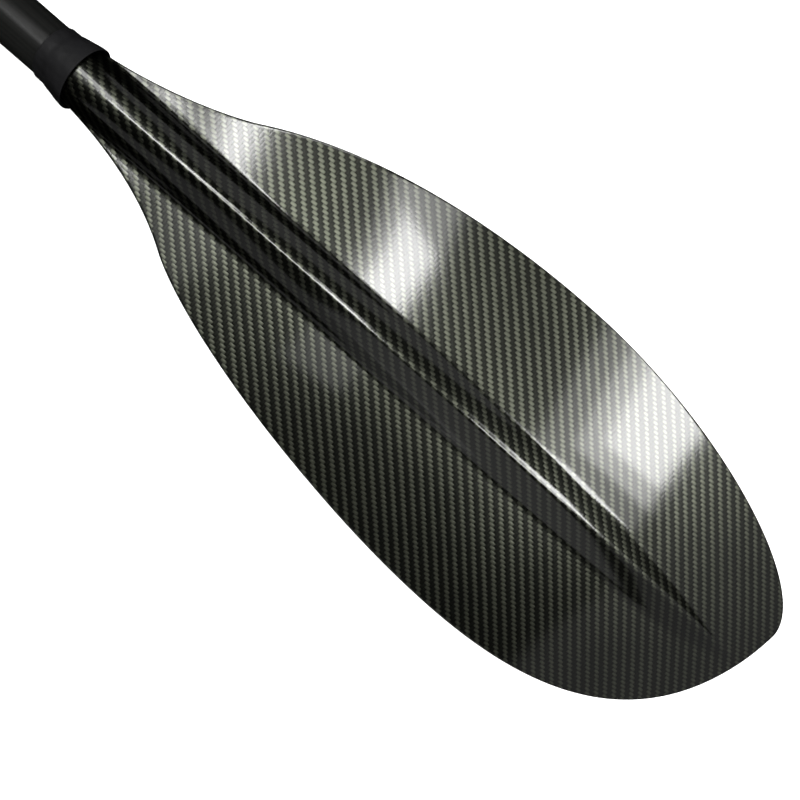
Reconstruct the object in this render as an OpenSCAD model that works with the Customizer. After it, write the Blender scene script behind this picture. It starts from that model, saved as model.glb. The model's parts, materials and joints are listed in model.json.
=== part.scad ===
// Two-piece touring kayak paddle with spooned, asymmetric blades, a ribbed back on each blade
// and a centre joint that sets length and feather and is locked by a lever clamp.
// X runs along the shaft, towards the right-hand blade. Y is up the blades' long edges.
// Z is up, with the ribbed backs facing up. The floor under the blade tips is Z = 0.

/* [Overall] */
// Length from tip to tip with the centre joint closed
overall_len = 2100; // [2060:10:2200]
// How far the centre joint can be drawn out
extension = 100; // [60:5:100]

/* [Blade] */
// Length of a blade from the joint sleeve to the tip
blade_len = 500; // [480:5:510]
// Half width on the long-edge side of the rib
upper_half = 87.7; // [80:0.1:92]
// Half width on the short-edge side of the rib
lower_half = 99.4; // [92:0.1:104]
// Drop of the tip below the shaft axis
spoon_depth = 38.5; // [30:0.5:39]
// How late along the blade the spoon curve sets in
spoon_power = 3.1; // [2.4:0.1:3.6]
// Drop of the edges below the rib at the widest place
edge_drop = 7.8; // [2:0.2:10]
// Thickness of each laminate skin
skin_t = 1.4; // [1.2:0.1:1.6]
// Thickness of each skin at the rim
rim_t = 0.8; // [0.6:0.1:1]

/* [Rib] */
// Half width of the rib at the neck
rib_neck_w = 15.2; // [14.8:0.1:15.4]
// Width of the rib's long-edge side along the blade
rib_upper_w = 14.8; // [13:0.1:15.5]
// Width of the rib's short-edge side along the blade
rib_lower_w = 16.4; // [14.5:0.1:17]
// Share of the rib's height left just before its point
rib_end_share = 0.3; // [0.2:0.05:0.5]
// Sideways bend of the rib at its point, towards the short edge
rib_bend = 8; // [0:0.5:9]
// Distance from the rib's point to the blade tip
rib_gap = 10; // [8:1:16]

/* [Shaft] */
// Outer diameter of the bare grip stretch
grip_d = 29.5; // [29:0.1:29.5]
// Outer diameter of the wrapped ends of each tube
wrap_d = 29.9; // [29.6:0.1:30.1]
// Bore of each tube
bore_d = 26.5; // [26.4:0.1:26.6]
// Length of the wrap at the centre joint
joint_wrap = 120; // [100:5:140]
// Length of the wrap at the blade
blade_wrap = 166; // [150:1:175]
// How far a drip ring stands from the joint between tube and blade
drip_inset = 136; // [126:1:140]

/* [Clamp] */
// Outer diameter of the clamp collar
collar_d = 38; // [37:0.5:39]
// Length of the clamp collar
collar_len = 46; // [44:1:56]
// Width of the ears and of the lever
lever_w = 24; // [20:1:26]
// Height of the lever pin above the shaft axis
pin_z = 14; // [13.8:0.1:14.2]
// Lever pin beside the shaft axis, along Y
pin_y = -26; // [-26.2:0.1:-25.8]

/* [Hidden] */

$fn = 96;
axis_z = spoon_depth + 1.5;              // height of the shaft axis over the floor
blade_x = overall_len / 2 - blade_len;   // where the blade's own frame starts, on X
neck_len = 14;                           // blade neck hidden under the sleeve
neck_r = 15;                             // radius of the round neck
tube_end = blade_x - neck_len;           // where tube and blade meet
run_gap = 0.05;                          // radial running clearance
part_gap = 0.3;                          // space between bodies that don't touch

// Grid of the blade skins
row_n = 33;          // rows from neck to tip
flange_n = 5;        // columns on each flat side
rib_n = 10;          // columns across the rib
col_n = 2 * flange_n + rib_n;
corner_s = 0.94 * blade_len;             // where the side edges end and the tip edge starts
fan_s = 0.76 * blade_len;                // where the rows start to bow towards the tip

// Centre joint
ferrule_r = bore_d / 2 - run_gap;
ferrule_in = 11.6;                       // bore radius of the male ferrule
insert_len = extension + 70;             // ferrule inside the right tube when closed
bond_len = 120;                          // ferrule bonded inside the left tube
mouth_x = 8;                             // mouth of the right tube
left_mouth_x = -11.5;                    // mouth of the left tube
nose_r = 15.7;                           // bore of the collar's nose
groove_r = 17.1;                         // groove that holds the feather ring
groove_x = 2.8;                          // where that groove starts
key_w = 2.8;
key_x = [-3, 7.5];                       // the feather ring's key, from and to
ear_t = [1.2, 7.5];                      // clamp ear, near and far side above the slit's middle
ear_y = -31;                             // centre of the ear's round end
ear_root = -16;                          // where the ear ends inside the collar's wall
screw_r = 2;
cam_r = 4.6;
cam_throw = 0.35;
washer_t = 1.5;
lever_r = [20, 23];                      // inner and outer radius of the lever's curved plate
clamp_x = 12 + lever_w / 2;              // middle of ears, screw and lever

carbon = "#232421";
carbon_matt = "#191a19";
shrink = "#1b1b1c";
nylon = "#2a2b2d";
steel = "#b9bbbd";
foam = "#d9d2b8";
rubber = "#161616";

// ---- shared shapes ----

function mix(a, b, k) = a + (b - a) * k;
function clamp01(v) = max(0, min(1, v));
function smooth(v, a, b) = let (k = clamp01((v - a) / (b - a))) k * k * (3 - 2 * k);
function bez(p, u) = pow(1 - u, 3) * p[0] + 3 * pow(1 - u, 2) * u * p[1]
    + 3 * (1 - u) * u * u * p[2] + pow(u, 3) * p[3];
function curve(p, n = 24) = [for (i = [0 : n]) bez(p, i / n)];

// A solid between two grids of points, each (ni + 1) rows of (nj + 1) points, hi above lo
module grid_solid(hi, lo) {
    ni = len(hi) - 1;
    nj = len(hi[0]) - 1;
    w = nj + 1;
    base = (ni + 1) * w;
    pts = concat([for (row = hi, p = row) p], [for (row = lo, p = row) p]);
    quads = concat(
        [for (i = [0 : ni - 1], j = [0 : nj - 1]) let (a = i * w + j) [a, a + 1, a + w + 1, a + w]],
        [for (i = [0 : ni - 1], j = [0 : nj - 1]) let (a = base + i * w + j) [a + w + 1, a + 1, a, a + w]],
        [for (i = [0 : ni - 1]) let (a = i * w) [a, a + w, base + a + w, base + a]],
        [for (i = [0 : ni - 1]) let (a = i * w + nj) [a + w, a, base + a, base + a + w]],
        [for (j = [0 : nj - 1]) [j + 1, j, base + j, base + j + 1]],
        [for (j = [0 : nj - 1]) let (a = ni * w + j) [a, a + 1, base + a + 1, base + a]]
    );
    polyhedron(pts, [for (q = quads, t = [[q[0], q[1], q[2]], [q[0], q[2], q[3]]]) t]);
}

// A solid through closed rings of points that run along +X; closed = true joins last to first
module ring_solid(rings, closed = false) {
    m = len(rings);
    n = len(rings[0]);
    last = closed ? m - 1 : m - 2;
    sides = [for (i = [0 : last], j = [0 : n - 1])
        let (a = i * n, b = ((i + 1) % m) * n, k = (j + 1) % n)
        each [[a + j, b + j, b + k], [a + j, b + k, a + k]]];
    caps = closed ? [] : [[for (j = [0 : n - 1]) j], [for (j = [n - 1 : -1 : 0]) (m - 1) * n + j]];
    polyhedron([for (r = rings, p = r) p], concat(sides, caps));
}

// A turned part along X from points [radius, x]
module turned(points) {
    rotate([0, 90, 0]) rotate_extrude() polygon(points);
}

// A flat outline in Y and Z, drawn out along X from x0 to x1
module prism_x(x0, x1) {
    translate([x0, 0, 0]) rotate([90, 0, 90]) linear_extrude(x1 - x0) children();
}

module on_axis() {
    translate([0, 0, axis_z]) children();
}

module on_blade(side) {
    mirror([side < 0 ? 1 : 0, 0, 0]) translate([blade_x, 0, axis_z]) children();
}

// ---- blade shape, in the blade's own frame: s along the blade, y across it ----

function scaled(p, half, full) = [for (q = p) [q.x * blade_len / 500, q.y * half / full]];
upper_edge = scaled(concat(
    curve([[-25, 15], [17, 15.8], [64, 32], [84, 43]]),
    curve([[84, 43], [132, 70.5], [204, 87.7], [291, 87.7]])), upper_half, 87.7);
upper_tip = scaled(curve([[291, 87.7], [388, 87.7], [502, 52], [500, 18]]), upper_half, 87.7);
lower_edge = scaled(concat(
    curve([[-25, 15], [21, 16], [58, 26], [84, 43]]),
    curve([[84, 43], [122, 69], [254, 99.4], [343, 99.4]])), lower_half, 99.4);
tip_y = 18 * upper_half / 87.7;
lower_tip = [for (q = curve([[343, -99.4], [456, -99.4], [492, -46], [500, 18]]))
    [q.x * blade_len / 500, q.y < 0 ? q.y * lower_half / 99.4 : q.y * tip_y / 18]];
upper_table = concat(upper_edge, upper_tip);
lower_table = concat(lower_edge, [for (q = lower_tip) [q.x, -q.y]]);
tip_table = [for (q = concat(lower_tip, [for (i = [24 : -1 : 0]) upper_tip[i]])) [q.y, q.x]];

upper_from = 0.58 * blade_len;           // where the rib's long-edge side starts to close
lower_from = 0.81 * blade_len;           // where its short-edge side does
rib_end = blade_len - rib_gap;
function rib_close(s, from) = 1 - pow(clamp01((s - from) / (rib_end - from)), 2.2);
function rib_side(s, w) = neck_r - 0.5 + (rib_neck_w - neck_r + 0.5) * smooth(s, -neck_len, 15)
    + (w - rib_neck_w) * smooth(s, 15, 150);
function rib_upper(s) = max(2.5, rib_close(s, upper_from) * rib_side(s, rib_upper_w));
function rib_lower(s) = max(2.5, rib_close(s, lower_from) * rib_side(s, rib_lower_w));
function rib_y(s) = -rib_bend * pow(max(s, 0) / rib_end, 2.5);
function rib_top(s) = (neck_r - skin_t) * rib_close(s, lower_from)
    * (1 - (1 - rib_end_share) * clamp01(s / (0.88 * blade_len)));
function ridge(s) = 0.55 * smooth(s, 0, 100) + 0.4 * smooth(s, 150, 360);
function rib_shape(s, a) = (1 - ridge(s)) * sin(a) + ridge(s) * (1 - abs(cos(a)));
function face_bulge(s) = (neck_r - skin_t) * (1 - smooth(s, -5, 125));
function upper_at(s) = max(lookup(s, upper_table), rib_upper(s) + rib_y(s) + 0.4);
function lower_at(s) = max(lookup(s, lower_table), rib_lower(s) - rib_y(s) + 0.4);
function mid_z(s, y) = -spoon_depth * pow(max(s, 0) / blade_len, spoon_power)
    - edge_drop * clamp01(2.2 * s / blade_len) * pow(abs(y) / 93, 1.6);

// Angle round the rib at a column: 180 on the lower flat side, 0 on the upper one
function col_angle(j) = 180 - 180 * clamp01((j - flange_n) / rib_n);
function round_y(s, a, inset) = let (w = cos(a) < 0 ? rib_lower(s) : rib_upper(s))
    rib_y(s) + max(w - inset, 0.6 * w) * cos(a);
function col_y(j, s, inset) =
    j < flange_n ? mix(-lower_at(s), round_y(s, 180, inset), j / flange_n)
    : j > flange_n + rib_n ? mix(round_y(s, 0, inset), upper_at(s), (j - flange_n - rib_n) / flange_n)
    : round_y(s, col_angle(j), inset);
function row_s(i) = mix(-neck_len, corner_s, pow(i / row_n, 0.95));
function bow(s) = pow(clamp01((s - fan_s) / (corner_s - fan_s)), 2);
function reach(j) = lookup(col_y(j, corner_s, 0), tip_table) - corner_s;
function rim_edge(i, j) = j == 0 || j == col_n || i == row_n;

// One point of a skin: inset narrows the rib, lift raises flat and rib, rib_s scales the rib's height
function skin_point(i, j, inset, lift, back) =
    let (
        s0 = row_s(i),
        y = col_y(j, s0, inset),
        s = s0 + bow(s0) * reach(j),
        a = col_angle(j),
        bulge = back ? rib_top(s) * rib_shape(s, a) : -face_bulge(s) * sin(a)
    )
    [s, y, mid_z(s, y) + bulge + (rim_edge(i, j) ? sign(lift) * min(abs(lift), rim_t) : lift)];
function skin_grid(inset, lift, back) =
    [for (i = [0 : row_n]) [for (j = [0 : col_n]) skin_point(i, j, inset, lift, back)]];

module blade_back(side) color(carbon) on_blade(side) {
    grid_solid(skin_grid(0, skin_t, true), skin_grid(skin_t, 0, true));
}

module blade_face(side) color(carbon) on_blade(side) {
    grid_solid(skin_grid(skin_t, 0, false), skin_grid(0, -skin_t, false));
}

// Foam inside the rib, a bond line clear of both skins
core_n = rib_n;                          // steps round the rib
core_rows = 22;                          // rows along it
core_from = 44;
core_to = 0.86 * blade_len;
bond = 0.35;                             // thickness of the bond line
core_in = skin_t + 2.5;                  // how far its sides lie inside the rib's feet
function core_ring(s) = concat(
    [for (k = [0 : core_n]) let (a = 180 * k / core_n, y = round_y(s, a, core_in))
        [s, y, mid_z(s, y) + bond + (rib_top(s) - 2 * bond) * rib_shape(s, a)]],
    [for (k = [core_n : -1 : 0]) let (a = 180 * k / core_n, y = round_y(s, a, core_in))
        [s, y, mid_z(s, y) + bond / 2 - max(face_bulge(s) - 2 * bond, 0) * sin(a)]]
);
module blade_core(side) color(foam) on_blade(side) {
    ring_solid([for (i = [0 : core_rows]) core_ring(mix(core_from, core_to, i / core_rows))]);
}

// Plug that joins the tube to the blade's neck
spigot_in_tube = 60;
spigot_neck_r = 12.7;                    // inside the round neck
spigot_tip_r = 8.5;
spigot_tip_s = 38;
module neck_spigot(side) color(carbon_matt) on_blade(side) {
    shoulder = -neck_len - 0.2;
    turned([
        [0, shoulder - spigot_in_tube], [ferrule_r - 1, shoulder - spigot_in_tube],
        [ferrule_r, shoulder - spigot_in_tube + 1], [ferrule_r, shoulder],
        [spigot_neck_r, shoulder], [spigot_neck_r, -5], [spigot_tip_r, spigot_tip_s], [0, spigot_tip_s]
    ]);
}

// Shrink sleeve over the joint: stations [s, half width, half height] of its inside
sleeve_t = 0.75;
sleeve_r = wrap_d / 2 + 0.25;            // its inner radius over the tube
sleeve_stations = [
    [-20, sleeve_r, sleeve_r], [-17.5, sleeve_r, sleeve_r], [-14, 15.7, 15.3], [-9, 16.7, 15.4],
    [-4.5, 17.7, 15.5], [-1.5, 18.2, 15.5], [0, 18.3, 15.5]
];
sleeve_n = 40;                           // points round the sleeve
function oval(q, t) = [for (k = [0 : sleeve_n - 1]) let (a = -360 * k / sleeve_n)
    [q[0], (q[1] + t) * cos(a), (q[2] + t) * sin(a)]];
module joint_sleeve(side) color(shrink) on_blade(side) {
    count = len(sleeve_stations) - 1;
    ring_solid(concat(
        [for (k = [0 : count]) oval(sleeve_stations[k], sleeve_t)],
        [for (k = [count : -1 : 0]) oval(sleeve_stations[k], 0)]), closed = true);
}

// ---- tubes ----

// Tube from its mouth m to the blade, for the right-hand side
module tube(m) {
    turned([
        [bore_d / 2, m], [wrap_d / 2, m], [wrap_d / 2, joint_wrap], [grip_d / 2, joint_wrap],
        [grip_d / 2, tube_end - blade_wrap], [wrap_d / 2, tube_end - blade_wrap],
        [wrap_d / 2, tube_end], [bore_d / 2, tube_end]
    ]);
}

slit_end = 38;                           // slit that lets the mouth of the right tube close
slit_w = 2;
module right_shaft() color(carbon_matt) on_axis() difference() {
    tube(mouth_x);
    translate([mouth_x - 1, -wrap_d, -slit_w / 2]) cube([slit_end - mouth_x + 1, wrap_d, slit_w]);
    translate([slit_end, 0, 0]) rotate([90, 0, 0]) cylinder(r = slit_w, h = wrap_d);
}

module left_shaft() color(carbon_matt) on_axis() mirror([1, 0, 0]) tube(-left_mouth_x);

// Watertight disc inside a tube
bulkhead_x = 205;
bulkhead_t = 15;
module bulkhead(side) color(foam) on_axis() mirror([side < 0 ? 1 : 0, 0, 0]) {
    translate([bulkhead_x, 0, 0]) rotate([0, 90, 0]) cylinder(r = ferrule_r, h = bulkhead_t);
}

// Soft cup that stops water running down the shaft
drip_r = 27;                             // rim of the cup
drip_hub_r = 17.8;
drip_len = 12;
drip_from = tube_end - drip_inset;
module drip_ring(side) color(rubber) on_axis() mirror([side < 0 ? 1 : 0, 0, 0]) {
    translate([drip_from, 0, 0]) turned([
        [wrap_d / 2 + run_gap, 0], [drip_hub_r - 0.4, 0], [drip_hub_r, 0.5], [drip_hub_r, 5],
        [drip_r - 1, drip_len - 2.5], [drip_r, drip_len - 0.5], [drip_r - 0.6, drip_len],
        [drip_r - 2, drip_len - 0.6], [drip_hub_r + 0.6, 8], [drip_hub_r, drip_len - 1],
        [drip_hub_r - 0.6, drip_len], [wrap_d / 2 + run_gap, drip_len]
    ]);
}

// ---- centre joint: fixed pieces on the right tube ----

module ear_outline() {
    half = (ear_t[1] - ear_t[0]) / 2;
    translate([ear_y, ear_t[0] + half]) circle(r = half);
    translate([ear_y, ear_t[0]]) square([ear_root - ear_y, 2 * half]);
}

mark_w = 0.8;                            // notch on the nose that the ring's ticks are read against
mark_len = 5;
module clamp_collar() color(nylon) on_axis() difference() {
    union() {
        turned([
            [0, 0], [collar_d / 2 - 0.8, 0], [collar_d / 2, 0.8], [collar_d / 2, collar_len - 3],
            [collar_d / 2 - 2, collar_len], [0, collar_len]
        ]);
        prism_x(clamp_x - lever_w / 2, clamp_x + lever_w / 2) {
            ear_outline();
            mirror([0, 1]) ear_outline();
        }
    }
    turned([
        [0, -1], [nose_r, -1], [nose_r, groove_x], [groove_r, groove_x], [groove_r, mouth_x],
        [wrap_d / 2 + run_gap, mouth_x], [wrap_d / 2 + run_gap, collar_len + 1], [0, collar_len + 1]
    ]);
    translate([-1, -collar_d, -ear_t[0]]) cube([collar_len + 2, collar_d - nose_r + 2, 2 * ear_t[0]]);
    translate([clamp_x, pin_y, -ear_t[1] - 1]) cylinder(r = screw_r + 0.1, h = 2 * ear_t[1] + 2);
    translate([-1, -mark_w / 2, collar_d / 2 - mark_w / 2]) cube([mark_len, mark_w, mark_w]);
}

screw_bottom = -15;
eye_w = 7.6;                             // eye that the lever pin runs through
eye_r = 4.2;
module tension_screw() color(steel) on_axis() difference() {
    union() {
        translate([clamp_x, pin_y, screw_bottom]) cylinder(r = screw_r, h = pin_z - screw_bottom);
        translate([clamp_x - eye_w / 2, pin_y, pin_z]) rotate([0, 90, 0]) cylinder(r = eye_r, h = eye_w);
    }
    translate([clamp_x - eye_w, pin_y, pin_z]) rotate([0, 90, 0]) cylinder(r = screw_r + 0.06, h = 2 * eye_w);
}

nut_h = 4;
module tension_nut() color(steel) on_axis() {
    translate([clamp_x, pin_y, -ear_t[1] - washer_t - nut_h]) difference() {
        cylinder(r = 4.4, h = nut_h, $fn = 6);
        translate([0, 0, -1]) cylinder(r = screw_r + run_gap, h = nut_h + 2);
    }
}

module nut_washer() color(steel) on_axis() {
    translate([clamp_x, pin_y, -ear_t[1] - washer_t]) difference() {
        cylinder(r = 5, h = washer_t);
        translate([0, 0, -1]) cylinder(r = screw_r + 0.15, h = washer_t + 2);
    }
}

module cam_washer() color("#b08d4a") on_axis() {
    translate([clamp_x, pin_y, ear_t[1]]) difference() {
        translate([1 - lever_w / 2, -5, 0]) cube([lever_w - 2, 10, washer_t]);
        translate([0, 0, -1]) cylinder(r = screw_r + 0.2, h = washer_t + 2);
    }
}

// ---- centre joint: lever ----

lever_from = 45;                         // thumb end of the curved plate, in degrees
lever_to = 140;                          // end towards the pin
function polar(r, a) = [r * cos(a), r * sin(a)];

// Part of a flat ring between two radii and two angles less than 150 degrees apart
module arc_band(r0, r1, a0, a1) {
    far = 2 * r1;
    intersection() {
        difference() {
            circle(r = r1);
            circle(r = r0);
        }
        polygon([[0, 0], polar(far, a0), polar(far, (a0 + a1) / 2), polar(far, a1)]);
    }
}

module lever_outline() {
    arc_band(lever_r[0], lever_r[1], lever_from, lever_to);
    translate(polar((lever_r[0] + lever_r[1]) / 2 + 0.4, lever_from)) circle(r = 1.9);
    polygon([
        polar(lever_r[1], 130), [pin_y, pin_z + cam_r - 0.1], [pin_y, pin_z - cam_r + 0.1],
        polar(lever_r[0], lever_to - 0.5)
    ]);
    translate([pin_y, pin_z - cam_throw]) circle(r = cam_r);
}

slot_w = eye_w + 0.8;                    // slot in the lever's root, for the screw and its eye
slot_y = [pin_y - 6, pin_y + 5.7];
module clamp_lever() color(nylon) on_axis() difference() {
    prism_x(clamp_x - lever_w / 2, clamp_x + lever_w / 2) lever_outline();
    translate([clamp_x - slot_w / 2, slot_y[0], 0]) cube([slot_w, slot_y[1] - slot_y[0], 2 * pin_z]);
    translate([clamp_x - lever_w, pin_y, pin_z]) rotate([0, 90, 0]) {
        cylinder(r = screw_r + 0.02, h = 2 * lever_w);
    }
}

module lever_pin() color(steel) on_axis() {
    translate([clamp_x - lever_w / 2 + 0.5, pin_y, pin_z]) rotate([0, 90, 0]) {
        cylinder(r = screw_r, h = lever_w - 1);
    }
}

pad_to = 112;                            // end of the thumb pad, in degrees
module lever_pad() color("#3a3b3c") on_axis() {
    prism_x(clamp_x - lever_w / 2 + 2, clamp_x + lever_w / 2 - 2) {
        arc_band(lever_r[1] + 0.02, lever_r[1] + 1, lever_from + 6, pad_to);
    }
}

// ---- centre joint: turning and sliding pieces ----

tick_step = 15;
module feather_ring() color("#3b3c3d") on_axis() {
    difference() {
        turned([
            [bore_d / 2, -9], [17.6, -9], [18.2, -8.4], [18.2, -part_gap], [nose_r - 0.08, -part_gap],
            [nose_r - 0.08, 3.1], [groove_r - 0.2, 3.1], [groove_r - 0.2, 7.7], [bore_d / 2, 7.7],
            [bore_d / 2, -4], [14.7, -4], [14.7, -7], [bore_d / 2, -7]
        ]);
        for (a = [-90 : tick_step : 90]) rotate([a, 0, 0]) {
            translate([-3.5, -0.3, 17.8]) cube([4, 0.6, 1]);
        }
    }
    translate([key_x[0], -key_w / 2, 12.6]) cube([key_x[1] - key_x[0], key_w, 1]);
}

module wiper_seal() color(rubber) on_axis() {
    translate([-5.5, 0, 0]) rotate([0, 90, 0]) rotate_extrude() {
        translate([ferrule_r + 0.02 + 0.7, 0]) circle(r = 0.7, $fn = 24);
    }
}

module male_ferrule() color(carbon) on_axis() difference() {
    turned([
        [ferrule_in, left_mouth_x - bond_len], [ferrule_r, left_mouth_x - bond_len],
        [ferrule_r, insert_len - 1], [ferrule_r - 1, insert_len], [ferrule_in, insert_len]
    ]);
    translate([key_x[0] - 0.5, -key_w / 2 - 0.1, 12.4]) {
        cube([key_x[1] - key_x[0] + extension + 1, key_w + 0.2, 2]);
    }
}

module ferrule_plug() color(nylon) on_axis() {
    turned([
        [0, insert_len - 20], [ferrule_in - 1, insert_len - 20], [ferrule_in - run_gap, insert_len - 19],
        [ferrule_in - run_gap, insert_len], [ferrule_r - 0.4, insert_len],
        [ferrule_r - 0.4, insert_len + 1.5], [ferrule_r - 1.4, insert_len + 2.5], [0, insert_len + 2.5]
    ]);
}

module end_collar() color(nylon) on_axis() {
    turned([
        [wrap_d / 2 + run_gap, -32], [15.8, -32], [17, -29], [17, -10], [16.3, -9.3], [bore_d / 2 + run_gap, -9.3],
        [bore_d / 2 + run_gap, left_mouth_x + 0.1], [wrap_d / 2 + run_gap, left_mouth_x + 0.1]
    ]);
}

blade_back(1);  // right_blade_back
blade_face(1);  // right_blade_face
blade_core(1);  // right_blade_core
neck_spigot(1);  // right_neck_spigot
joint_sleeve(1);  // right_joint_sleeve
right_shaft();
bulkhead(1);  // right_bulkhead
drip_ring(1);  // right_drip_ring
clamp_collar();
tension_screw();
tension_nut();
nut_washer();
cam_washer();
clamp_lever();
lever_pin();
lever_pad();
feather_ring();
wiper_seal();
male_ferrule();
ferrule_plug();
end_collar();
bulkhead(-1);  // left_bulkhead
drip_ring(-1);  // left_drip_ring
left_shaft();
blade_back(-1);  // left_blade_back
blade_face(-1);  // left_blade_face
blade_core(-1);  // left_blade_core
neck_spigot(-1);  // left_neck_spigot
joint_sleeve(-1);  // left_joint_sleeve
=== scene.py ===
"""Looks of the two-piece kayak paddle: blade shells, carbon twill, shrink sleeves and a plain studio."""
import json
import math

import bpy
import numpy as np
from mathutils import Matrix, Vector


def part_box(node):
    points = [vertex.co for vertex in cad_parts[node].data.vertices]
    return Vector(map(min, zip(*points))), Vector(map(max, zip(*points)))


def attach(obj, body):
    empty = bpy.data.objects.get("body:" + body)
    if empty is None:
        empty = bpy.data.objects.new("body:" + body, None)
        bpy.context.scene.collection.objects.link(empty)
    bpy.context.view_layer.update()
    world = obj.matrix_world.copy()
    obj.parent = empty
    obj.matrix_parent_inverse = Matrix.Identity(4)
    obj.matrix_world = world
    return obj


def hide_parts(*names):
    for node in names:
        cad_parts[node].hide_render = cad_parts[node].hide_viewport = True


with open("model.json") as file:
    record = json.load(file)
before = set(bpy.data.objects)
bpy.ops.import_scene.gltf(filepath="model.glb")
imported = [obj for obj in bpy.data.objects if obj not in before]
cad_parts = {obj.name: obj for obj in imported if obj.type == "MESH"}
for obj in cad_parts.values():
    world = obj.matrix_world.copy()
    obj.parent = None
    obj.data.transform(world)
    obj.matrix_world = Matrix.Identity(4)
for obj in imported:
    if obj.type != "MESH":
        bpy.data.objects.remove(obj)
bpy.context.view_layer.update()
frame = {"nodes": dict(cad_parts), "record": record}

MM = 0.001

# ---------------------------------------------------------------- places, from the frame
tube_low, tube_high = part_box("right_shaft")
sleeve_low, sleeve_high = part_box("right_joint_sleeve")
back_low, back_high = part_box("right_blade_back")
face_low, face_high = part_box("right_blade_face")
AXIS_Z = (tube_low.z + tube_high.z) / 2
BLADE_X = sleeve_high.x
BLADE_LEN = back_high.x - BLADE_X
NECK_LEN = BLADE_X - back_low.x
UPPER_HALF = back_high.y
LOWER_HALF = -back_low.y
WRAP_R = (tube_high.z - tube_low.z) / 2

# ---------------------------------------------------------------- blade shape, in millimetres
# The same driving values as the CAD design; s runs along the blade from the sleeve, y across it.
LENGTH = BLADE_LEN / MM
SPOON_DEPTH = AXIS_Z / MM - 1.5
SPOON_POWER = 3.1
EDGE_DROP = 7.8
SKIN_T = 1.4
RIM_T = 0.8
RIM_ROUND = 0.9          # how far in from the rim its rounding reaches
TAPER = 60.0             # how far in from the rim the skin reaches its full thickness
RIB_NECK_W = 15.2
RIB_UPPER_W = 14.8
RIB_LOWER_W = 16.4
RIB_END_SHARE = 0.3
RIB_BEND = 8.0
RIB_END = LENGTH - 10.0
UPPER_FROM = 0.58 * LENGTH
LOWER_FROM = 0.81 * LENGTH
NECK_R = 15.0
CORNER_S = 0.94 * LENGTH
FAN_S = 0.76 * LENGTH
FLANGE_MIN = 0.4         # least width of the flat beside the rib
INSIDE = 0.04            # how far the fine shells keep inside the CAD skins
BACK_COLS = 65           # columns over the rib of the back
FACE_COLS = 33           # columns over the same width of the face


def mix(a, b, k):
    return a + (b - a) * k


def smooth(v, a, b):
    k = np.clip((v - a) / (b - a), 0, 1)
    return k * k * (3 - 2 * k)


def bezier(points, count=60):
    u = np.linspace(0, 1, count)[:, None]
    a, b, c, d = np.array(points, float)
    return (1 - u) ** 3 * a + 3 * (1 - u) ** 2 * u * b + 3 * (1 - u) * u * u * c + u ** 3 * d


def outline():
    """Upper and lower edge as tables of (s, y), from the neck to the tip, y positive on both."""
    along = LENGTH / 500
    high = UPPER_HALF / MM / 87.7
    low = LOWER_HALF / MM / 99.4
    upper = np.vstack([
        bezier([(-25, 15), (17, 15.8), (64, 32), (84, 43)]),
        bezier([(84, 43), (132, 70.5), (204, 87.7), (291, 87.7)])[1:],
        bezier([(291, 87.7), (388, 87.7), (502, 52), (500, 18)])[1:]])
    lower = np.vstack([
        bezier([(-25, 15), (21, 16), (58, 26), (84, 43)]),
        bezier([(84, 43), (122, 69), (254, 99.4), (343, 99.4)])[1:],
        bezier([(343, 99.4), (456, 99.4), (492, 46), (500, -18)])[1:]])
    upper = upper * (along, high)
    lower = np.where(lower[:, 1:] > 0, lower * (along, low), lower * (along, high))
    return upper, lower


UPPER, LOWER = outline()
TIP = np.vstack([LOWER[119:] * (1, -1), UPPER[119:][::-1]])


def rib_close(s, start):
    return 1 - np.clip((s - start) / (RIB_END - start), 0, 1) ** 2.2


def rib_side(s, width):
    return (NECK_R - 0.5 + (RIB_NECK_W - NECK_R + 0.5) * smooth(s, -NECK_LEN / MM, 15)
            + (width - RIB_NECK_W) * smooth(s, 15, 150))


def rib_upper(s):
    return np.maximum(rib_close(s, UPPER_FROM) * rib_side(s, RIB_UPPER_W), 0.5)


def rib_lower(s):
    return np.maximum(rib_close(s, LOWER_FROM) * rib_side(s, RIB_LOWER_W), 0.5)


def rib_y(s):
    return -RIB_BEND * (np.maximum(s, 0) / RIB_END) ** 2.5


def rib_top(s):
    taper = 1 - (1 - RIB_END_SHARE) * np.clip(s / (0.88 * LENGTH), 0, 1)
    return (NECK_R - SKIN_T) * rib_close(s, LOWER_FROM) * taper


def ridge(s):
    return 0.55 * smooth(s, 0, 100) + 0.4 * smooth(s, 150, 360)


def face_bulge(s):
    return (NECK_R - SKIN_T) * (1 - smooth(s, -5, 125))


def mid_z(s, y):
    spoon = SPOON_DEPTH * (np.maximum(s, 0) / LENGTH) ** SPOON_POWER
    return -spoon - EDGE_DROP * np.clip(2.2 * s / LENGTH, 0, 1) * (np.abs(y) / 93) ** 1.6


def edge_steps(count, first=0.15, grow=1.55):
    """Distances from the rim: close together at the rim, in millimetres."""
    return first * (grow ** np.arange(count) - 1) / (grow - 1)


def rim_distance(s, y):
    """Distance of points to the outline seen from above, in millimetres."""
    line = np.vstack([LOWER * (1, -1), UPPER[::-1]])
    a, b = line[:-1], line[1:]
    d = b - a
    size = (d ** 2).sum(1) + 1e-12
    flat = np.column_stack([s.ravel(), y.ravel()])
    best = np.empty(len(flat))
    for start in range(0, len(flat), 4000):
        p = flat[start:start + 4000, None, :]
        k = np.clip(((p - a) * d).sum(2) / size, 0, 1)
        best[start:start + 4000] = np.sqrt(((p - a - k[..., None] * d) ** 2).sum(2).min(1))
    return best.reshape(s.shape)


BULGE_REACH = 26.0       # half width of the table of the rib's height
CREST_BLUR = 6.0         # rounding of the crest and of the feet, in table steps
FOOT_BLUR = 7.5
BULGE_S = np.arange(-40.0, LENGTH + 3, 3.0)
BULGE_V = np.arange(-BULGE_REACH, BULGE_REACH + 0.1, 0.2)


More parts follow.
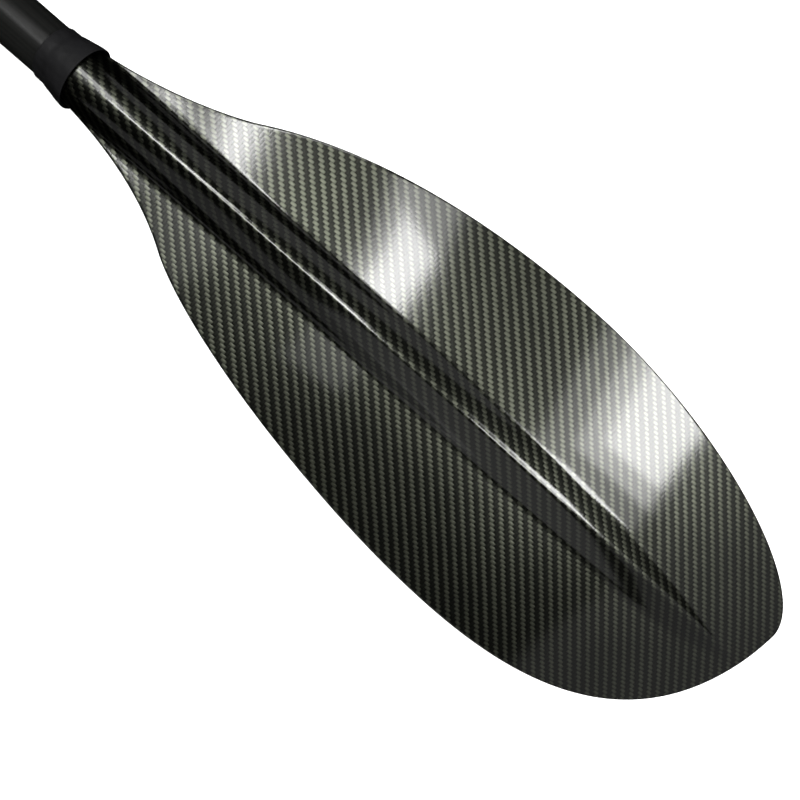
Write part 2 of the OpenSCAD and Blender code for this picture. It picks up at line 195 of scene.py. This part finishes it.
def blurred(rows, sigma):
    """Rows of numbers blurred along their second axis, sigma in steps."""
    reach = int(4 * sigma) + 1
    kernel = np.exp(-0.5 * (np.arange(-reach, reach + 1) / sigma) ** 2)
    kernel /= kernel.sum()
    return np.array([np.convolve(row, kernel, "same") for row in rows])


def bulge_table(back):
    """Height of the rib, or depth of the round neck on the face, by s and distance from the rib's middle."""
    s = BULGE_S[:, None]
    width = np.where(BULGE_V < 0, rib_lower(s), rib_upper(s))
    part = np.clip(BULGE_V / width, -1, 1)
    if back:
        tent = 1 - np.abs(part)
        shape = (1 - ridge(s)) * np.sqrt(1 - part ** 2) + ridge(s) * tent
        sharp = rib_top(s) * shape
    else:
        sharp = -face_bulge(s) * np.sqrt(1 - part ** 2)
    at_feet = smooth(np.abs(BULGE_V) / width, 0.4, 0.85)
    return mix(blurred(sharp, CREST_BLUR), blurred(sharp, FOOT_BLUR), at_feet)


def looked_up(table, s, v):
    """Value of the bulge table at points, straight between its entries."""
    a = np.clip((s - BULGE_S[0]) / (BULGE_S[1] - BULGE_S[0]), 0, len(BULGE_S) - 1.001)
    b = np.clip((v - BULGE_V[0]) / (BULGE_V[1] - BULGE_V[0]), 0, len(BULGE_V) - 1.001)
    i, j = a.astype(int), b.astype(int)
    a, b = a - i, b - j
    return (mix(mix(table[i, j], table[i, j + 1], b), mix(table[i + 1, j], table[i + 1, j + 1], b), a)
            * smooth(BULGE_REACH - np.abs(v), 0, 2))


def blade_grid(back, rows=230, flat_cols=26, rim_cols=7, fillet=4.5):
    """Points of one skin's outer surface, as arrays s, y, middle height and bulge.

    The columns are the rim and flat on one side, the rib with its fillets, and the flat and rim on the other.
    """
    rim = edge_steps(rim_cols)
    base = np.linspace(-NECK_LEN / MM, CORNER_S - 2, rows)
    s0 = np.concatenate([base, CORNER_S - 2 + 2 * np.linspace(0, 1, 10)[1:] ** 0.6])[:, None]
    centre, upper_foot, lower_foot = rib_y(s0), rib_upper(s0), rib_lower(s0)
    upper = np.maximum(np.interp(s0, *UPPER.T), upper_foot + centre + FLANGE_MIN)
    lower = np.maximum(np.interp(s0, *LOWER.T), lower_foot - centre + FLANGE_MIN)
    left = np.minimum(lower_foot + fillet - centre, 0.5 * (lower + lower_foot - centre))
    right = np.minimum(upper_foot + fillet + centre, 0.5 * (upper + upper_foot + centre))
    spread = mix(-1, 1, np.linspace(0, 1, BACK_COLS if back else FACE_COLS))[None, :]
    middle = centre + np.where(spread < 0, left + centre, right - centre) * spread

    def flat(edge, outer):
        room = edge - outer
        near = np.minimum(rim[None, :], room * np.linspace(0, 0.5, rim_cols)[None, :])
        rest = np.linspace(0, 1, flat_cols + 1)[None, 1:-1]
        return np.hstack([edge - near, mix(edge - near[:, -1:], outer, rest)])

    y = np.hstack([-flat(lower, left), middle, flat(upper, right)[:, ::-1]])
    bow = np.clip((s0 - FAN_S) / (CORNER_S - FAN_S), 0, 1) ** 2
    reach = np.interp(y[-1], TIP[:, 1], TIP[:, 0]) - CORNER_S
    s = s0 + bow * reach[None, :]
    return s, y, mid_z(s, y), looked_up(bulge_table(back), s, y - rib_y(s))


def skin_thickness(distance):
    """Skin thickness by distance from the rim: rounded at the rim, then slowly growing to its full value."""
    full = mix(RIM_T, SKIN_T, smooth(distance, 0, TAPER))
    return full * np.sqrt(1 - (1 - np.clip(distance / RIM_ROUND, 0, 1)) ** 2)


def run_length(y, z):
    """Length over the surface from the middle column, along each row."""
    step = np.hypot(np.diff(y, axis=1), np.diff(z, axis=1))
    total = np.hstack([np.zeros((len(y), 1)), np.cumsum(step, axis=1)])
    return total - total[:, total.shape[1] // 2][:, None]


def shell_object(name, top, bottom, uv):
    """A closed mesh between two grids of points that share their sides and far end."""
    rows, cols = top.shape[:2]
    up = np.arange(rows * cols).reshape(rows, cols)
    down = up + rows * cols
    down[:, 0], down[:, -1], down[-1] = up[:, 0], up[:, -1], up[-1]

    def quads(idx, flip):
        q = np.stack([idx[:-1, :-1], idx[1:, :-1], idx[1:, 1:], idx[:-1, 1:]], -1).reshape(-1, 4)
        return q[:, ::-1] if flip else q

    neck = np.stack([up[0, :-1], up[0, 1:], down[0, 1:], down[0, :-1]], -1)
    faces = np.vstack([quads(up, False), quads(down, True), neck])
    points = np.vstack([top.reshape(-1, 3), bottom.reshape(-1, 3)])
    maps = np.vstack([uv.reshape(-1, 2), uv.reshape(-1, 2)])
    used, faces = np.unique(faces, return_inverse=True)
    faces = faces.reshape(-1, 4)
    return mesh_object(name, points[used], [clean(f) for f in faces.tolist()], maps[used])


def clean(face):
    """A face without repeated corners."""
    return [v for k, v in enumerate(face) if v != face[k - 1]]


def mesh_object(name, points, faces, uv=None, sharp=35.0):
    mesh = bpy.data.meshes.new(name)
    mesh.from_pydata([tuple(p) for p in points], [], [f for f in faces if len(f) > 2])
    if uv is not None:
        layer = mesh.uv_layers.new(name="cloth")
        corner = np.empty(len(mesh.loops), np.int32)
        mesh.loops.foreach_get("vertex_index", corner)
        layer.data.foreach_set("uv", uv[corner].astype(np.float32).ravel())
    mesh.validate()
    mesh.shade_smooth()
    mesh.set_sharp_from_angle(angle=math.radians(sharp))
    obj = bpy.data.objects.new(name, mesh)
    bpy.context.scene.collection.objects.link(obj)
    return obj


def blade_skin(side, back):
    s, y, mid, bulge = blade_grid(back)
    rim = rim_distance(s, y)
    rim[:, 0], rim[:, -1], rim[-1] = 0, 0, 0
    thick = np.maximum(skin_thickness(rim) - INSIDE, 0)
    lift = thick if back else -thick
    outer = np.stack([s, y, mid + bulge + lift], -1)
    gap = np.where(rim > 0, INSIDE / 2, 0)
    inner = np.stack([s, y, mid + bulge + (gap if back else -gap)], -1)
    uv = np.stack([s, run_length(y, mid + bulge)], -1) * MM
    place = np.array([side * MM, MM, MM])
    shift = np.array([side * BLADE_X, 0, AXIS_Z])
    top, bottom = (outer, inner) if back else (inner, outer)
    if side < 0:
        top, bottom, uv = top[:, ::-1], bottom[:, ::-1], uv[:, ::-1]
    word = "right" if side > 0 else "left"
    name = f"{word}_blade_{'back' if back else 'face'}"
    return shell_object(name + "_fine", top * place + shift, bottom * place + shift, uv), name


# ---------------------------------------------------------------- shrink sleeve, in millimetres
def ring_mesh(name, grid):
    """A mesh closed both ways, from points in rows round the wall and columns round the axis."""
    rows, cols = grid.shape[:2]
    idx = np.arange(rows * cols).reshape(rows, cols)
    down, right = np.roll(idx, -1, 0), np.roll(idx, -1, 1)
    faces = np.stack([idx, right, np.roll(down, -1, 1), down], -1).reshape(-1, 4)
    return mesh_object(name, grid.reshape(-1, 3), faces.tolist())


def sleeve_piece(side):
    """Oval shrink sleeve with rolled lips and a few soft creases where it grips the tube."""
    low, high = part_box(f"{'right' if side > 0 else 'left'}_joint_sleeve")
    back = (low.x - high.x) / MM
    half_w, half_h = high.y / MM - 0.05, (high.z - AXIS_Z) / MM - 0.05
    wall = 0.72
    stations = np.array([-20, -17.5, -14, -9, -4.5, -1.5, 0]) / 20 * -back
    widths = np.array([15.2, 15.25, 15.75, 16.75, 17.75, 18.2, 18.28]) + half_w - 19.0
    heights = np.array([15.2, 15.2, 15.3, 15.4, 15.5, 15.5, 15.48]) + half_h - 16.2
    fine = np.linspace(back, 0, 41)
    width = np.convolve(np.pad(np.interp(fine, stations, widths), 2, "edge"), np.ones(5) / 5, "valid")
    height = np.convolve(np.pad(np.interp(fine, stations, heights), 2, "edge"), np.ones(5) / 5, "valid")
    lip = wall / 2
    turn = np.linspace(-math.pi / 2, math.pi / 2, 7)
    inner_s = np.linspace(-lip - 0.05, back + lip + 0.05, 12)
    outer_s = fine[1:-1]
    outer_s = outer_s[(outer_s > back + lip) & (outer_s < -lip)]
    s = np.concatenate([inner_s, back + lip - lip * np.cos(turn), outer_s, -lip + lip * np.cos(turn[::-1])])
    lift = np.concatenate([np.zeros(len(inner_s)), lip + lip * np.sin(turn), np.full(len(outer_s), wall),
                           lip + lip * np.sin(turn[::-1])])
    angle = np.linspace(0, 2 * math.pi, 144, endpoint=False)[None, :]
    s, lift = s[:, None], lift[:, None]
    crease = (np.sin(9 * angle + 0.35 * s) * np.sin(4 * angle - 0.5 * s + 1.3)
              * np.clip(lift / wall, 0, 1) * smooth(s, back, back + 3) * (1 - smooth(s, -5, -1)))
    pinch = 0.25 * np.exp(-((s - back - 5.5) / 2.0) ** 2) * lift / wall
    off = lift - 0.09 * np.abs(crease) - pinch
    y = (np.interp(s, fine, width) + off) * np.cos(angle)
    z = (np.interp(s, fine, height) + off) * np.sin(angle)
    points = np.stack(np.broadcast_arrays(s, y, z), -1)
    if side < 0:
        points = points[:, ::-1]
    return ring_mesh(f"{'right' if side > 0 else 'left'}_sleeve_fine",
                     points * np.array([side * MM, MM, MM]) + np.array([side * BLADE_X, 0, AXIS_Z]))


# ---------------------------------------------------------------- node material helpers
class Nodes:
    """Small helper that adds nodes to one material and wires them."""

    def __init__(self, name):
        self.mat = bpy.data.materials.new(name)
        self.mat.use_nodes = True
        self.tree = self.mat.node_tree
        self.bsdf = self.tree.nodes["Principled BSDF"]

    def add(self, kind, **values):
        node = self.tree.nodes.new(kind)
        for key, value in values.items():
            setattr(node, key, value)
        return node

    def link(self, source, target):
        if isinstance(source, bpy.types.NodeSocket):
            self.tree.links.new(source, target)
        else:
            target.default_value = source

    def math(self, op, a, b=0.0, c=0.0):
        node = self.add("ShaderNodeMath", operation=op)
        for value, socket in zip((a, b, c), node.inputs):
            self.link(value, socket)
        return node.outputs[0]

    def blend(self, factor, a, b):
        """Mix of two numbers."""
        node = self.add("ShaderNodeMix")
        self.link(factor, node.inputs["Factor"])
        self.link(a, node.inputs["A"])
        self.link(b, node.inputs["B"])
        return node.outputs["Result"]

    def tint(self, factor, a, b):
        """Mix of two colours."""
        node = self.add("ShaderNodeMix", data_type="RGBA")
        self.link(factor, node.inputs[0])
        self.link(a, node.inputs[6])
        self.link(b, node.inputs[7])
        return node.outputs[2]

    def noise(self, vector, scale, detail=3.0, rough=0.55):
        node = self.add("ShaderNodeTexNoise")
        if vector is not None:
            self.link(vector, node.inputs["Vector"])
        node.inputs["Scale"].default_value = scale
        node.inputs["Detail"].default_value = detail
        node.inputs["Roughness"].default_value = rough
        return node.outputs["Fac"]

    def spread(self, value, low, high, to_low=0.0, to_high=1.0):
        node = self.add("ShaderNodeMapRange")
        self.link(value, node.inputs["Value"])
        for key, number in (("From Min", low), ("From Max", high), ("To Min", to_low), ("To Max", to_high)):
            node.inputs[key].default_value = number
        return node.outputs["Result"]

    def stretched(self, vector, scale):
        node = self.add("ShaderNodeMapping")
        self.link(vector, node.inputs["Vector"])
        node.inputs["Scale"].default_value = scale
        return node.outputs["Vector"]

    def object_coords(self):
        return self.add("ShaderNodeTexCoord").outputs["Object"]

    def bump(self, height, distance, strength=1.0, normal=None):
        node = self.add("ShaderNodeBump")
        node.inputs["Strength"].default_value = strength
        node.inputs["Distance"].default_value = distance
        self.link(height, node.inputs["Height"])
        if normal is not None:
            self.link(normal, node.inputs["Normal"])
        return node.outputs["Normal"]

    def set(self, **values):
        for key, value in values.items():
            self.link(value, self.bsdf.inputs[key.replace("_", " ")])
        return self.mat


def twill_cells(n, u, v, tow):
    """2x2 twill: whether a lengthwise tow is on top, and where across and along its float a point is."""
    cell_u = n.math("DIVIDE", u, tow)
    cell_v = n.math("DIVIDE", v, tow)
    whole_u, whole_v = n.math("FLOOR", cell_u), n.math("FLOOR", cell_v)
    part_u, part_v = n.math("SUBTRACT", cell_u, whole_u), n.math("SUBTRACT", cell_v, whole_v)
    turn = n.math("FLOORED_MODULO", n.math("ADD", whole_u, whole_v), 4.0)
    lengthwise = n.math("LESS_THAN", turn, 1.5)
    along_u = n.math("MULTIPLY", n.math("ADD", turn, part_u), 0.5)
    along_v = n.math("MULTIPLY", n.math("ADD", n.math("SUBTRACT", turn, 2.0), part_v), 0.5)
    across = n.blend(lengthwise, part_u, part_v)
    along = n.blend(lengthwise, along_v, along_u)
    return lengthwise, across, along


FERRULE_R = 13.2 * MM


def arch(n, value):
    """0 at both ends of 0..1 and 1 in the middle."""
    return n.math("SINE", n.math("MULTIPLY", value, math.pi))


def carbon_twill(name, on_tube=False, tow=1.94 * MM, bright=(0.066, 0.070, 0.053, 1),
                 dark=(0.004, 0.0042, 0.0038, 1)):
    """Clear-coated 2x2 carbon twill, over the cloth map or wound round a tube on the shaft axis; its colour
    holds a painted sheen on the floats.
    """
    n = Nodes(name)
    place = n.add("ShaderNodeSeparateXYZ")
    if on_tube:
        n.link(n.object_coords(), place.inputs[0])
        turn = n.math("ARCTAN2", n.math("SUBTRACT", place.outputs["Z"], AXIS_Z), place.outputs["Y"])
        round_place = n.add("ShaderNodeCombineXYZ")
        n.link(place.outputs["X"], round_place.inputs["X"])
        n.link(n.math("MULTIPLY", turn, FERRULE_R), round_place.inputs["Y"])
        cloth = round_place.outputs[0]
        place = n.add("ShaderNodeSeparateXYZ")
    else:
        cloth = n.add("ShaderNodeUVMap", uv_map="cloth").outputs["UV"]
    n.link(cloth, place.inputs[0])
    wave = n.noise(cloth, 9.0, 2.0)
    drift = n.math("MULTIPLY", n.math("SUBTRACT", wave, 0.5), 0.9 * MM)
    u = n.math("ADD", place.outputs["X"], drift)
    v = n.math("SUBTRACT", place.outputs["Y"], drift)
    lengthwise, across, along = twill_cells(n, u, v, tow)

    streak_u = n.noise(n.stretched(cloth, (260.0, 5200.0, 1.0)), 1.0, 2.0)
    streak_v = n.noise(n.stretched(cloth, (5200.0, 260.0, 1.0)), 1.0, 2.0)
    streak = n.blend(lengthwise, streak_v, streak_u)
    patch = n.noise(cloth, 26.0, 3.0)
    # Painted sheen and shade: the colour is brightest at the crown of each float and darker towards its
    # edges; the streak and patch factors are random tone.
    crown = n.math("MULTIPLY", n.math("POWER", arch(n, across), 0.35), n.math("POWER", arch(n, along), 0.45))
    sheen_tone = n.math("MULTIPLY", crown, n.spread(streak, 0.25, 0.75, 0.72, 1.2))
    sheen_tone = n.math("MULTIPLY", sheen_tone, n.spread(patch, 0.3, 0.7, 0.8, 1.15))
    # Painted sheen: crosswise floats get 0.12 of the lengthwise floats' brightness, standing in for the
    # fibres' directional reflection.
    sheen_tone = n.math("MULTIPLY", sheen_tone, n.blend(lengthwise, 0.12, 1.0))
    colour = n.tint(n.math("MINIMUM", sheen_tone, 1.0), dark, bright)

    height = n.math("MULTIPLY", crown, n.blend(lengthwise, 0.8, 1.0))
    cloth_normal = n.bump(height, 0.10 * MM, 0.8)
    fine = n.noise(cloth, 420.0, 2.0)
    print_through = n.math("ADD", n.math("MULTIPLY", height, 0.5), fine)
    coat_normal = n.bump(print_through, 0.02 * MM, 0.5)
    rough = n.spread(streak, 0.2, 0.8, 0.29, 0.41)
    return n.set(Base_Color=colour, Roughness=rough, Normal=cloth_normal, Coat_Normal=coat_normal,
                 Metallic=1.0, Coat_Weight=1.0, Coat_Roughness=0.09, Coat_IOR=1.5)


def satin_carbon():
    """Unlacquered carbon tube: faint streaks along it and fine specks."""
    n = Nodes("satin_carbon")
    place = n.object_coords()
    streak = n.noise(n.stretched(place, (14.0, 900.0, 900.0)), 1.0, 4.0)
    speck = n.noise(place, 900.0, 3.0)
    colour = n.tint(n.spread(streak, 0.3, 0.75), (0.0022, 0.0023, 0.0021, 1), (0.0048, 0.005, 0.0045, 1))
    normal = n.bump(n.math("ADD", streak, n.math("MULTIPLY", speck, 0.4)), 0.05 * MM, 0.35)
    rough = n.spread(speck, 0.3, 0.7, 0.34, 0.46)
    return n.set(Base_Color=colour, Roughness=rough, Normal=normal, Specular_IOR_Level=0.08,
                 Coat_Weight=0.05, Coat_Roughness=0.22)


def shrink_plastic():
    """Black shrink tubing with a fine grain and soft folds."""
    n = Nodes("shrink_plastic")
    place = n.object_coords()
    grain = n.noise(place, 1500.0, 3.0)
    fold = n.noise(n.stretched(place, (60.0, 160.0, 160.0)), 1.0, 2.0)
    colour = n.tint(n.spread(fold, 0.3, 0.7), (0.0024, 0.0024, 0.0026, 1), (0.0045, 0.0045, 0.0049, 1))
    normal = n.bump(n.math("ADD", fold, n.math("MULTIPLY", grain, 0.12)), 0.25 * MM, 0.35)
    rough = n.spread(grain, 0.3, 0.7, 0.45, 0.6)
    return n.set(Base_Color=colour, Roughness=rough, Normal=normal, Specular_IOR_Level=0.08)


def moulded(name, low, high, rough=(0.4, 0.6), grain=900.0, depth=0.04):
    """Moulded plastic or rubber with a fine grain, between two colours."""
    n = Nodes(name)
    place = n.object_coords()
    fine = n.noise(place, grain, 4.0)
    broad = n.noise(place, 35.0, 3.0)
    colour = n.tint(n.spread(broad, 0.3, 0.7), (*low, 1), (*high, 1))
    normal = n.bump(fine, depth * MM, 0.5)
    return n.set(Base_Color=colour, Roughness=n.spread(fine, 0.3, 0.7, *rough), Normal=normal)


def turned_metal(name, low, high):
    """Metal turned about the X axis, with fine rings."""
    n = Nodes(name)
    place = n.object_coords()
    lines = n.noise(n.stretched(place, (3500.0, 300.0, 300.0)), 1.0, 3.0)
    colour = n.tint(lines, (*low, 1), (*high, 1))
    normal = n.bump(lines, 0.01 * MM, 0.5)
    rough = n.spread(lines, 0.3, 0.7, 0.22, 0.4)
    return n.set(Base_Color=colour, Metallic=1.0, Roughness=rough, Normal=normal)


def foam():
    n = Nodes("foam")
    place = n.object_coords()
    cells = n.add("ShaderNodeTexVoronoi")
    n.link(place, cells.inputs["Vector"])
    cells.inputs["Scale"].default_value = 900.0
    colour = n.tint(cells.outputs["Distance"], (0.5, 0.44, 0.28, 1), (0.75, 0.69, 0.5, 1))
    return n.set(Base_Color=colour, Roughness=0.9, Normal=n.bump(cells.outputs["Distance"], 0.2 * MM, 0.6))


def floor_material():
    n = Nodes("studio_floor")
    grain = n.noise(n.object_coords(), 60.0, 4.0)
    colour = n.tint(grain, (0.9, 0.9, 0.9, 1), (0.93, 0.93, 0.925, 1))
    normal = n.bump(grain, 0.05 * MM, 0.2)
    return n.set(Base_Color=colour, Roughness=0.85, Normal=normal, Specular_IOR_Level=0.2)


# ---------------------------------------------------------------- camera, floor and lights
EYE_FROM_SLEEVE = Vector((0.2151, 0.0025, 0.4308))
LOOK = Vector((0.0464, -0.0504, -0.9976)).normalized()
LEVEL = Vector((0.7559, 0.6547, 0.0021))


def studio_camera():
    """Over the right-hand blade, nearly square to it, with the blade running down to the right."""
    eye = Vector((BLADE_X, 0, AXIS_Z)) + EYE_FROM_SLEEVE
    forward = LOOK
    right = (LEVEL - LEVEL.dot(forward) * forward).normalized()
    down = forward.cross(right)
    cam = bpy.data.cameras.new("camera")
    cam.sensor_width = 36.0
    cam.lens = 36.0
    cam.clip_start = 0.01
    obj = bpy.data.objects.new("camera", cam)
    turn = Matrix((right, -down, -forward)).transposed()
    obj.matrix_world = Matrix.Translation(eye) @ turn.to_4x4()
    bpy.context.scene.collection.objects.link(obj)
    bpy.context.scene.camera = obj


def studio_floor():
    """A wide plain floor, kept out of the part's reflections."""
    size = 12.0
    mesh = bpy.data.meshes.new("floor")
    corners = [(-size, -size, 0), (size, -size, 0), (size, size, 0), (-size, size, 0)]
    mesh.from_pydata(corners, [], [(0, 1, 2, 3)])
    mesh.materials.append(floor_material())
    obj = bpy.data.objects.new("floor", mesh)
    obj.visible_glossy = False
    bpy.context.scene.collection.objects.link(obj)


LIGHT_FAR = 3.0          # distance of every soft box from the blade's middle
AMBIENT = 1.2            # strength of the white surroundings
LIGHT_CENTRE = Vector((BLADE_X + 0.25, 0, 0))


def soft_box(name, lean, side_lean, wide, long, radiance, spin=0.0):
    """A soft box far from the blade; lean and side_lean are its direction in degrees from straight up."""
    way = Vector((math.tan(math.radians(lean)), math.tan(math.radians(side_lean)), 1)).normalized()
    width = 2 * LIGHT_FAR * math.tan(math.radians(wide / 2))
    length = 2 * LIGHT_FAR * math.tan(math.radians(long / 2))
    data = bpy.data.lights.new(name, "AREA")
    data.shape = "RECTANGLE"
    data.size, data.size_y = width, length
    data.energy = radiance * math.pi * width * length
    obj = bpy.data.objects.new(name, data)
    x_axis = Vector((0, 1, 0)).cross(way).normalized()
    y_axis = way.cross(x_axis)
    turn = Matrix((x_axis, y_axis, way)).transposed() @ Matrix.Rotation(math.radians(spin), 3, "Z")
    obj.matrix_world = Matrix.Translation(LIGHT_CENTRE + way * LIGHT_FAR) @ turn.to_4x4()
    obj.visible_camera = False
    bpy.context.scene.collection.objects.link(obj)


# name, lean, side lean, width, length (degrees), radiance, spin (degrees)
SOFT_BOXES = [
    ("band_a", -18.2, 20, 2.4, 28, 15.0, -6.0),
    ("band_a_soft", -18.7, 19, 3.6, 30, 5.0, -6.0),
    ("band_a_wide", -19.4, 18, 5.2, 32, 2.0, -6.0),
    ("band_a_low", -18.0, -10, 6.0, 9, 0.8, 0.0),
    ("band_b", -0.5, 11, 5.0, 15, 16.0, 0.0),
    ("band_b_soft", -1.2, 18, 7.5, 34, 4.5, 0.0),
    ("band_b_low", -0.5, -11, 7.0, 9, 1.2, 0.0),
    ("band_c", 33.9, 30, 9.2, 24, 9.0, 0.0),
    ("band_c_soft", 32.4, 27, 12.2, 28, 6.0, 0.0),
    ("band_c_wide", 30.4, 22, 16.2, 38, 2.6, 0.0),
    ("crest_near", -33.0, 14, 16.0, 14.0, 7.0, 0.0),
    ("crest", -11.0, 0.0, 30.0, 9.0, 17.0, 0.0),
    ("crest_far", 25.0, -1.0, 14.0, 12.0, 14.0, 0.0),
    ("side_low", 28.0, -52, 40.0, 26, 0.5, 0.0),
    ("flank_upper", 10.0, 70, 60.0, 24, 0.45, 0.0),
    ("flank_lower", 10.0, -70, 60.0, 24, 0.3, 0.0),
    ("tip_fill", 57.0, 0, 32.0, 60, 0.28, 0.0),
    ("neck_fill", -38.0, 8, 24.0, 40, 0.6, 0.0),
]


def studio_world():
    """White surroundings that light the floor and the part, and are kept out of its reflections."""
    world = bpy.data.worlds.new("studio")
    bpy.context.scene.world = world
    world.use_nodes = True
    background = world.node_tree.nodes["Background"]
    background.inputs["Color"].default_value = (1.0, 1.0, 1.0, 1)
    background.inputs["Strength"].default_value = AMBIENT
    world.cycles_visibility.glossy = False


def studio_light():
    for box in SOFT_BOXES:
        soft_box(*box)
    studio_world()
    bpy.context.scene.view_settings.view_transform = "Standard"


# ---------------------------------------------------------------- build
twill = carbon_twill("carbon_twill")
shrink = shrink_plastic()
for side in (1, -1):
    body = "right_half" if side > 0 else "left_half"
    for back in (True, False):
        piece, node = blade_skin(side, back)
        piece.data.materials.append(twill)
        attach(piece, body)
        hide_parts(node)
    sleeve = sleeve_piece(side)
    sleeve.data.materials.append(shrink)
    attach(sleeve, body)
    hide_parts(sleeve.name.replace("_sleeve_fine", "_joint_sleeve"))

FINISH = {
    "carbon_gloss": twill,
    "carbon_satin": satin_carbon(),
    "carbon_ferrule": carbon_twill("ferrule_twill", on_tube=True),
    "shrink_sleeve": shrink,
    "foam": foam(),
    "soft_rubber": moulded("soft_rubber", (0.012, 0.012, 0.012), (0.02, 0.02, 0.02), (0.6, 0.8)),
    "nylon": moulded("nylon", (0.012, 0.0125, 0.013), (0.02, 0.0205, 0.0215)),
    "ring_nylon": moulded("ring_nylon", (0.05, 0.051, 0.053), (0.066, 0.067, 0.069)),
    "steel": turned_metal("steel", (0.5, 0.5, 0.51), (0.7, 0.7, 0.7)),
    "brass": turned_metal("brass", (0.5, 0.35, 0.14), (0.7, 0.5, 0.22)),
}
EDGE = {"nylon": 0.45, "ring_nylon": 0.3, "steel": 0.2, "brass": 0.15, "carbon_satin": 0.2,
        "carbon_ferrule": 0.2, "soft_rubber": 0.15}


def round_edges(obj, width):
    """Softens the edges of a CAD piece without touching its mesh."""
    weld = obj.modifiers.new("weld", "WELD")
    weld.merge_threshold = 0.005 * MM
    bevel = obj.modifiers.new("edges", "BEVEL")
    bevel.width = width * MM
    bevel.segments = 3
    bevel.limit_method = "ANGLE"
    bevel.angle_limit = math.radians(35)
    bevel.harden_normals = True


for part in frame["record"]["subparts"]:
    node = frame["nodes"][part["node"]]
    slot = part["material_slot"]
    node.data.materials.clear()
    node.data.materials.append(FINISH[slot])
    if slot in EDGE:
        round_edges(node, EDGE[slot])

studio_camera()
studio_floor()
studio_light()
